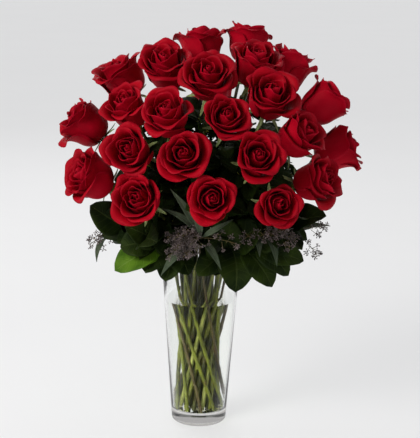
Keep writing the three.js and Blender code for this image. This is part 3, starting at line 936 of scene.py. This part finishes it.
def rose_stem(number, row, ring, bearing):
    rng = np.random.default_rng(100 + number)
    *middle, face_bearing, lean, width, leaf, _ = row
    axis = facing(face_bearing, lean)
    neck = Vector(metres(*middle)) - axis * (HEAD_MIDDLE * (width / 1000) / HEAD_WIDTH + HIP_LENGTH)
    line = stem_line(ring, bearing, neck + axis * INTO_HIP, axis, 0.4)
    # Every stem of the inner rings takes the dark olive bark, a painted shade for the inside of the
    # bundle. The pale bark goes only to the outer ring, as painted light.
    bark = rose_barks[1 if number % 3 == 1 or ring != OUTER_RING else number % 3]
    stem = tube(stem_rows(line, *ROSE_STEM, rng), 8, bark)
    cut_foot(stem, line[0], (UP + facing(rng.uniform(0, 360), 90) * 0.8).normalized())
    parts = [stem, copy_of(hip, standing(neck, axis))]
    for i in range(5):
        sepal = lay_sepal(math.radians(36 + 72 * i), rng.uniform(0.1, 0.75), rng.uniform(-0.5, 0.6))
        sepal.data.transform(standing(neck, axis))
        parts.append(sepal)
    for share in np.arange(0.12, 0.9, 0.13) + rng.uniform(-0.04, 0.04):
        along = arc_way(line, share)
        out = off_twig(along, rng.uniform(0, 6.28))
        turned = Matrix((along.cross(out), along, out)).transposed().to_4x4()
        foot = Matrix.Translation(arc_point(line, share) + out * 0.002)
        parts.append(copy_of(thorn, foot @ turned @ Matrix.Scale(rng.uniform(0.7, 1.05), 4)))
    if leaf:
        parts.append(copy_of(leaf_blanks[number % 3], leaf_place(line, *leaf)))
    for share in np.linspace(0.08, 0.82, FILLING_LEAVES):
        turn = rng.uniform(-160, 160)
        placing = leaf_place(line, share + rng.uniform(-0.03, 0.03), turn)
        size = rng.uniform(0.9, 1.2) if share < 0.7 else 0.78
        parts.append(copy_of(leaf_blanks[rng.integers(3)], placing @ Matrix.Scale(size, 4)))
    return joined(parts, f"rose_stem_{number:02d}")


for number, row, ring, bearing in rose_rows():
    dress(rose_stem(number, row, ring, bearing), f"stem_{number:02d}")
print("rose stems:", number)

# %% [markdown]
# ## Petal finish
#
# A red rose petal is velvet: tiny cones in its skin catch grazing light, so it is deep red seen
# straight on, with a soft pale sheen along its edges. Fine veins fan out from its root. Every
# petal differs a little at random. The colour is also darkened towards the middle of the bloom
# and towards each petal's root, a painted shade for the bloom's deep hollow. The attribute
# `tone_and_shade` carries the random part and the shade of the middle.

# %% Petal finish
def petal_finish(name, deep, bright, edge, sheen):
    finish, shader, wire = new_finish(name)
    across, along = map_axes(wire)
    tone_and_shade = wire.node("Attribute", {"attribute_name": "tone_and_shade"}, {}, "Fac")
    fan = wire.node("CombineXYZ", {}, {"X": across * 34.0, "Y": along * 3.0, "Z": tone_and_shade * 40.0})
    veins = noise(wire, 1.0, 2.0, fan)
    patches = noise(wire, 55.0, 3.0).step(0.3, 0.7)
    fine = noise(wire, 1400.0, 2.0)
    colour = (tone_and_shade * 0.6 + patches * 0.25 + veins * 0.15).blend(deep, bright)
    rim = along.step(0.9, 1.0) + across.math("ABSOLUTE", across).step(0.9, 1.0)
    colour = (rim * 0.25).blend(colour, edge)
    # Towards each petal's root the colour is darkened: painted shade for the deep middle of the
    # bloom.
    colour = ((1 - along.step(0.02, 0.3)) * 0.55).blend(colour, tuple(0.35 * c for c in deep))
    fill(shader, {"Base Color": colour, "Roughness": 0.46 + 0.2 * fine, "Specular IOR Level": 0.06})
    fill(shader, {"Sheen Weight": sheen, "Sheen Roughness": 0.35})
    fill(shader, {"Sheen Tint": (1.0, 0.12, 0.24, 1)})
    fill(shader, {"Normal": bump(wire, veins * 0.5 + fine * 0.25, 0.0005, 0.6)})
    return finish


# Name, deep colour, bright colour, edge, sheen.
petal_finishes = [petal_finish(*row) for row in (
    ("petal_outside", (0.25, 0.0008, 0.008), (0.48, 0.0012, 0.015), (0.39, 0.003, 0.022), 0.03),
    ("petal_inside", (0.165, 0.0004, 0.004), (0.43, 0.0007, 0.010), (0.32, 0.0015, 0.015), 0.02),
)]
print("petal finishes:", [finish.name for finish in petal_finishes])

# %% [markdown]
# ## Rose heads
#
# A rose head is 21 petals, each turned by 137.5 degrees from the last. The inner ones wrap
# tightly round one another, the next open into a cup, and the outer ones roll back at their rims
# and pinch to a point. The blank is a row of 21 flat grids made with an Array. No modifier bends
# it in that way, so a rule does: every petal is walked from root to rim in small steps, and
# `lean` says how far it leans out at each. A walk of fixed length keeps a petal's real size
# however far it curls.

# %% Petal blank
PETALS = 21
PETAL_THICKNESS = 0.00045
PETAL_GAP = 3  # from middle to middle, where a petal is 2 wide
ROUNDED = 0.5
LEAN_STATIONS = np.array([0.0, 0.25, 0.5, 0.8, 1.0])

petal_row = flat_blank("petal_row_blank", 14, 14)
offset = {"use_constant_offset": True, "constant_offset_displace": (PETAL_GAP, 0, 0)}
apply_modifier(petal_row, "ARRAY", count=PETALS, use_relative_offset=False, **offset)
for finish in petal_finishes:
    petal_row.data.materials.append(finish)
flat = corners_of(petal_row)
petal_of = np.floor(flat[:, 0] / PETAL_GAP + 0.5).astype(int)
rank = petal_of / (PETALS - 1)  # 0 for the innermost petal, 1 for the outermost

# The top half of the square blank is rounded to nearly half a disc.
up = np.clip(flat[:, 1], 0, 1)
across = flat[:, 0] - PETAL_GAP * petal_of
top_half = 0.5 + 0.5 * up * np.sqrt(1 - ROUNDED * across**2)
along = np.where(flat[:, 1] > 0, top_half, (flat[:, 1] + 1) / 2)
across = across * np.sqrt(1 - ROUNDED * up**2)
print("petal blank:", len(petal_row.data.polygons), "faces")


# %% Rose head rule
HEAD_REACH = 36.5  # millimetres from its axis that hardly any part of a head goes past


def by_rank(*stops):
    """A value for every corner, between the values given at ranks."""
    return np.interp(rank, [stop[0] for stop in stops], [stop[1] for stop in stops])


def petal_leans(openness, rng):
    """How many degrees each petal leans out from upright, at five stations from root to rim."""
    o = openness - 0.5
    rim = (0, -24), (0.35, -12 + 16 * o), (0.6, 40 + 40 * o), (0.8, 84 + 40 * o), (1, 118 + 30 * o)
    leans = np.stack([
        by_rank((0, 28), (0.35, 55), (0.6, 78), (1, 92)),
        by_rank((0, 10), (0.35, 20), (0.6, 32 + 8 * o), (1, 45 + 12 * o)),
        by_rank((0, -8), (0.35, -5), (0.6, 4 + 12 * o), (1, 9 + 20 * o)),
        by_rank((0, -16), (0.35, -14 + 8 * o), (0.6, 24 * o), (0.8, 10 + 24 * o), (1, 22 + 30 * o)),
        by_rank(*rim),
    ])
    differ = rng.normal(0, 1, (5, PETALS)) * np.array([[0], [2], [3], [4], [11]])
    return leans + differ[:, petal_of]


def rose_corners(openness, down, rng):
    """Every petal's corners in millimetres, for a head that stands on the origin and is 72 mm wide.

    `down` says which way the ground lies, seen from the head, and how far the head is tipped.
    """
    def each(low, high):
        return rng.uniform(low, high, PETALS)[petal_of]

    turn = np.radians(GOLDEN_TURN * petal_of + each(-22, 22) * (1 - 0.6 * rank))
    half_width = by_rank((0, 175), (0.15, 140), (0.35, 108), (0.6, 84), (1, 70))
    spread = np.radians(half_width) * each(0.86, 1.14)
    length = by_rank((0, 51), (0.2, 56), (0.45, 62), (0.7, 69), (1, 70)) * each(0.93, 1.05)
    leans = petal_leans(openness, rng)
    side_roll = by_rank((0, 0), (0.3, 8), (0.5, 34), (0.8, 62), (1, 78)) * each(0.4, 1.4)
    slow, quick, skew = each(0, 6.28), each(0, 6.28), each(-0.12, 0.12)
    hang = 22 * down.length * np.cos(turn - math.atan2(down.y, down.x)) * np.clip(rank - 0.4, 0, 1)
    point = 0.07 * rank * np.exp(-((across / 0.2) ** 2)) * up**2
    radius = by_rank((0, 1.2), (0.35, 3.0), (0.6, 5.5), (1, 8.0))
    height = by_rank((0, 6), (0.5, 3), (1, 0.5))
    steps = 28
    for i in range(steps):
        here = along * (i + 0.5) / steps
        lean = np.zeros_like(here)
        for k in range(4):
            low, high = LEAN_STATIONS[k], LEAN_STATIONS[k + 1]
            share = (here - low) / (high - low)
            lean = np.where(here >= low, leans[k] * (1 - share) + leans[k + 1] * share, lean)
        rise = np.clip((here - 0.5) / 0.5, 0, 1)
        lean = lean + hang * (0.4 + rise) + side_roll * np.abs(across) ** 3 * rise**1.5
        lean = lean + 19 * rank * np.sin(3.2 * across + slow) * rise
        lean = np.radians(lean + (7 + 9 * rank) * np.sin(8 * across + quick) * rise**2)
        radius = radius + (along + point) * length / steps * np.sin(lean)
        height = height + (along + point) * length / steps * np.cos(lean)
    narrow = 1 - 0.45 * (1 - np.clip(along / 0.5, 0, 1)) ** 1.5 * np.clip(rank / 0.4, 0, 1)
    radius = radius + by_rank((0, 1.5), (0.3, 2.2), (1, 3.4)) * across * np.clip(2 * along, 0, 1)
    angle = turn + spread * across * narrow + skew * along
    radius = radius * HEAD_REACH / np.percentile(radius, 98.8)
    return np.stack([radius * np.cos(angle), radius * np.sin(angle), height], 1)


def rose_head(number, row):
    rng = np.random.default_rng(200 + number)
    *middle, bearing, lean, width, _, openness = row
    axis = facing(bearing, lean)
    size = width / 1000 / HEAD_WIDTH
    head = copy_of(petal_row)
    root = Vector(metres(*middle)) - axis * (HEAD_MIDDLE * size)
    placing = standing(root, axis, size, 50 * number)
    down = (placing.to_3x3().inverted() @ -UP).to_2d() * size
    set_corners(head, rose_corners(openness, down, rng) / 1000)
    head.data.transform(placing)
    # The random parts are each petal's own tone. 0.4 * rank darkens the inner petals, a painted
    # shade for the bloom's hollow middle.
    tone_and_shade = rng.uniform(0, 0.25) + rng.uniform(0, 0.35, PETALS)[petal_of] + 0.4 * rank
    head.data.attributes.new("tone_and_shade", "FLOAT", "POINT").data.foreach_set("value", tone_and_shade)
    head.name = f"rose_head_{number:02d}"
    return thicken(head, PETAL_THICKNESS)


for number, row, ring, bearing in rose_rows():
    dress(rose_head(number, row), f"bloom_{number:02d}")

# %% [markdown]
# ## Salal branches
#
# Salal, or lemon leaf, is a florist's green with broad leathery leaves on a thin woody stem. Its
# branches stand in a ring at the vase's wall and bend out over the rim. Leaves go where the plain
# solids have them, and more of them fill the collar, which is dense and nearly black inside.

# %% Salal tables
# Name, bearing of its stem, end of its arc in millimetres, and its leaves: share of the arc, tip,
# width. The first leaves are those of the plain solids. The others, in the second list, close the
# collar between them.
SALAL = [
    ("salal_back_left", -144, (-84, 88, 318), [
        (0.35, -88, 92, 262, 44), (0.55, -120, 56, 300, 46), (0.7, -44, 130, 312, 44),
        (0.85, -78, 92, 384, 44), (1, -132, 128, 330, 48),
    ], [
        (0.3, -70, 60, 335, 46), (0.45, -132, 85, 292, 44), (0.6, -85, 140, 285, 46),
        (0.8, -118, 70, 372, 44), (0.95, -50, 128, 350, 44),
    ]),
    ("salal_left", -72, (-112, -22, 308), [
        (0.35, -112, -16, 262, 44), (0.55, -122, -66, 300, 44), (0.8, -134, 26, 326, 46),
        (1, -164, -42, 347, 48),
    ], [
        (0.25, -80, -40, 330, 48), (0.45, -138, 30, 282, 44), (0.65, -150, -30, 300, 44),
        (0.9, -128, -70, 348, 44),
    ]),
    ("salal_front_left", -36, (-82, -84, 302), [
        (0.3, -52, -94, 248, 42), (0.6, -126, -92, 264, 48), (0.75, -108, -98, 330, 44),
        (1, -66, -134, 318, 44),
    ], [
        (0.1, -34, -96, 326, 54), (0.3, -78, -90, 325, 52), (0.2, -18, -100, 262, 44),
        (0.5, -80, -104, 262, 46), (0.85, -118, -86, 296, 46),
    ]),
    ("salal_front_right", 36, (78, -92, 300), [
        (0.3, -4, -108, 262, 42), (0.5, 52, -112, 240, 54), (0.72, 106, -104, 246, 44),
        (1, 128, -118, 268, 40),
    ], [
        (0.1, 8, -92, 334, 56), (0.25, 44, -94, 336, 54), (0.15, 22, -100, 262, 46),
        (0.55, 88, -100, 336, 50), (0.9, 122, -90, 322, 44), (0.98, 150, -102, 284, 40),
    ]),
    ("salal_right", 108, (124, -12, 312), [
        (0.35, 112, -4, 256, 40), (0.55, 150, -62, 290, 48), (0.75, 150, 34, 318, 46),
        (1, 184, -48, 340, 46),
    ], [
        (0.25, 92, -40, 334, 48), (0.45, 142, 44, 280, 44), (0.65, 160, -20, 298, 44),
        (0.9, 146, -76, 346, 44),
    ]),
    ("salal_back_right", 180, (40, 112, 318), [
        (0.35, 14, 112, 262, 44), (0.55, 78, 96, 292, 46), (0.7, -10, 128, 330, 44),
        (0.85, 66, 96, 378, 44), (1, 78, 150, 318, 48),
    ], [
        (0.3, 50, 70, 340, 46), (0.45, 110, 80, 280, 44), (0.6, -30, 142, 285, 46),
        (0.75, 104, 62, 350, 44), (0.95, 20, 138, 352, 44),
    ]),
]
# The one leaf whose brighter green is painted light, shining through it from behind.
LIT_THROUGH_LEAF = ("salal_front_left", 1)  # the branch, and the leaf's place in its list


def green_line(bearing, end):
    mouth = facing(bearing, 90) * GREEN_RING * MOUTH_SPREAD + UP * MOUTH_HEIGHT
    x, y, z = metres(*end)
    level = Vector((x - mouth.x, y - mouth.y, 0)).normalized()
    return stem_line(GREEN_RING, bearing, Vector((x, y, z)), (level + UP * 0.15).normalized(), 0.45)


def upper_face(base, tip):
    """A leaf's upper face looks up and outwards, more to the front or back than sideways."""
    out = Vector((0.35 * (base.x + tip.x), base.y + tip.y - 0.050, 0)).normalized()
    return out + UP * 0.7


print("salal leaves:", sum(len(row[3]) + len(row[4]) for row in SALAL))


# %% Salal
FOLD_LOSS = 1.06  # a folded leaf looks narrower than it is, so it is laid wider


def salal_branch(name, bearing, end, leaves):
    rng = np.random.default_rng(300 + abs(bearing))
    line = green_line(bearing, end)
    parts = [tube(stem_rows(line, *SALAL_STEM, rng), 8, salal_bark)]
    for i, (share, *tip, width) in enumerate(leaves):
        base, tip = arc_point(line, share), Vector(metres(*tip))
        finishes = (lit_through_top if (name, i) == LIT_THROUGH_LEAF else salal_top, salal_under)
        shape = (base, tip, width / 1000 * FOLD_LOSS, upper_face(base, tip), rng)
        parts.append(lay_leaf(broad_blank, finishes, *shape))
    return joined(parts, name.replace("salal", "salal_branch"))


for name, bearing, end, leaves, more_leaves in SALAL:
    dress(salal_branch(name, bearing, end, leaves + more_leaves), name)
print("salal branches:", len(SALAL))

# %% [markdown]
# ## Seeded eucalyptus
#
# Seeded eucalyptus has long narrow grey-green leaves, and twigs with seeds smaller than a
# peppercorn, each a cup with a pointed lid. Six seeds make a bunch, and a side twig carries one
# bunch or two. A seed has few faces, because there are hundreds of them.

# %% Eucalyptus tables
# Name, bearing, end of the arc, leaves (share of the arc, tip, width), and seed twigs (share,
# tip, number of side twigs), in millimetres.
EUCALYPTUS = [
    ("eucalyptus_left", -108, (-138, 2, 292), [
        (0.6, -128, 62, 290, 13), (1, -158, -40, 262, 13),
    ], [
        (0.9, -156, -40, 300, 8), (1, -168, -26, 284, 7),
    ]),
    ("eucalyptus_front", 0, (0, -112, 318), [
        (0.8, -58, -118, 262, 14), (1, 46, -136, 352, 9), (1, -13, -138, 370, 10),
        (0.9, -54, -134, 366, 11), (0.95, -44, -116, 390, 12), (0.7, 30, -128, 276, 11),
    ], [
        (0.8, -36, -132, 306, 13), (0.9, -32, -138, 326, 13), (1, -12, -142, 318, 8),
        (0.95, 28, -132, 328, 5), (0.8, -48, -130, 322, 12), (0.85, -22, -136, 298, 12),
        (0.9, -18, -136, 334, 11), (0.85, -46, -134, 296, 10), (0.9, -30, -136, 314, 12),
        (1, 56, -128, 312, 5),
    ]),
    ("eucalyptus_front_right", 72, (104, -72, 318), [
        (0.7, 86, -126, 300, 15), (1, 134, -66, 352, 13), (0.8, 110, -134, 288, 14),
        (1, 86, -124, 368, 11),
    ], [
        (0.8, 66, -118, 322, 6), (0.95, 102, -112, 324, 11), (1, 136, -102, 316, 11),
        (0.9, 88, -120, 326, 7), (1, 118, -114, 332, 11), (0.9, 128, -110, 306, 10),
    ]),
    ("eucalyptus_right", 144, (146, 14, 296), [
        (0.6, 120, 74, 292, 14), (1, 196, 10, 312, 13),
    ], [
        (0.9, 186, -22, 316, 9), (1, 174, -36, 276, 8),
    ]),
]
print("eucalyptus sprays:", len(EUCALYPTUS))

# %% Seed
seed_finish, shader, wire = new_finish("eucalyptus_seed")
speckle = noise(wire, 700.0, 3.0)
patches = noise(wire, 60.0, 2.0).step(0.35, 0.65)
colour = patches.blend((0.045, 0.031, 0.029), (0.150, 0.113, 0.107))
colour = (speckle.step(0.5, 0.75) * 0.5).blend(colour, (0.34, 0.29, 0.27))
fill(shader, {"Base Color": colour, "Roughness": 0.62, "Normal": bump(wire, speckle, 0.0003)})

seed = add_cylinder(0.0006, 0, 0.006, 5)
pick_middle(seed, 0.006)
draw_out((0, 0.0010, 2.8), (0, 0.0012, 1.15), (0, 0.0010, 0.62), (0, 0.0012, 0.12))
end_shaping(seed, "seed_blank", 180, seed_finish)


def lay_bunch(rng):
    """Six seeds that spread from the end of a short stalk, which stands on the origin."""
    end = Vector((0, 0, 0.0016))
    parts = [tube([(Vector(), 0.0004), (end, 0.0004)], 4, gum_bark)]
    for k in range(6):
        way = facing(GOLDEN_TURN * k, rng.uniform(15, 95))
        parts.append(copy_of(seed, standing(end, way, rng.uniform(0.38, 0.54))))
    return joined(parts, "bunch_blank")


bunch_chance = np.random.default_rng(9)
bunches = [lay_bunch(bunch_chance) for _ in range(3)]
print("seed:", len(seed.data.polygons), "faces, a bunch:", len(bunches[0].data.polygons), "faces")


# %% Eucalyptus
def seed_twig(base, tip, count, rng):
    """A twig whose outer part carries short side twigs, each with bunches of seeds."""
    along = (tip - base).normalized()
    length = (tip - base).length
    hump = [UP * 0.05 * length * math.sin(math.pi * i / 6) for i in range(7)]
    parts = [tube([(base.lerp(tip, i / 6) + hump[i], 0.0006) for i in range(7)], 4, gum_bark)]
    reach = min(0.034, 0.8 * length)
    for i in range(count):
        back = reach * i / count
        start = tip - along * back
        out = off_twig(along, math.radians(GOLDEN_TURN * i))
        way = (out + along * rng.uniform(0.3, 0.9)).normalized()
        side = 0.003 + 0.42 * min(back, 0.026) * rng.uniform(0.6, 1.15)
        joint = start + way * side
        parts.append(tube([(start, 0.0004), (joint, 0.00035)], 4, gum_bark))
        for share in (1.0, 0.6)[: 1 + i % 2]:
            placing = standing(start.lerp(joint, share), way, 1.0, rng.uniform(0, 360))
            parts.append(copy_of(bunches[i % 3], placing))
    return parts


def eucalyptus_spray(name, bearing, end, leaves, twigs):
    rng = np.random.default_rng(400 + abs(bearing))
    line = green_line(bearing, end)
    parts = [tube(stem_rows(line, *GUM_STEM, rng), 8, gum_bark)]
    for share, *tip, width in leaves:
        base, tip = arc_point(line, share), Vector(metres(*tip))
        shape = (base, tip, width / 1000, upper_face(base, tip), rng, narrow_outline, 0.0)
        parts.append(lay_leaf(narrow_blank, (gum_top, gum_top), *shape))
    for share, *tip, count in twigs:
        parts += seed_twig(arc_point(line, share), Vector(metres(*tip)), count, rng)
    return joined(parts, name + "_spray")


for name, bearing, end, leaves, twigs in EUCALYPTUS:
    dress(eucalyptus_spray(name, bearing, end, leaves, twigs), name)

blanks = [broad_blank, small_blank, narrow_blank, petal_row, hip, thorn, seed]
for blank in blanks + bunches + leaf_blanks:
    bpy.data.objects.remove(blank)
print("eucalyptus sprays:", len(EUCALYPTUS))
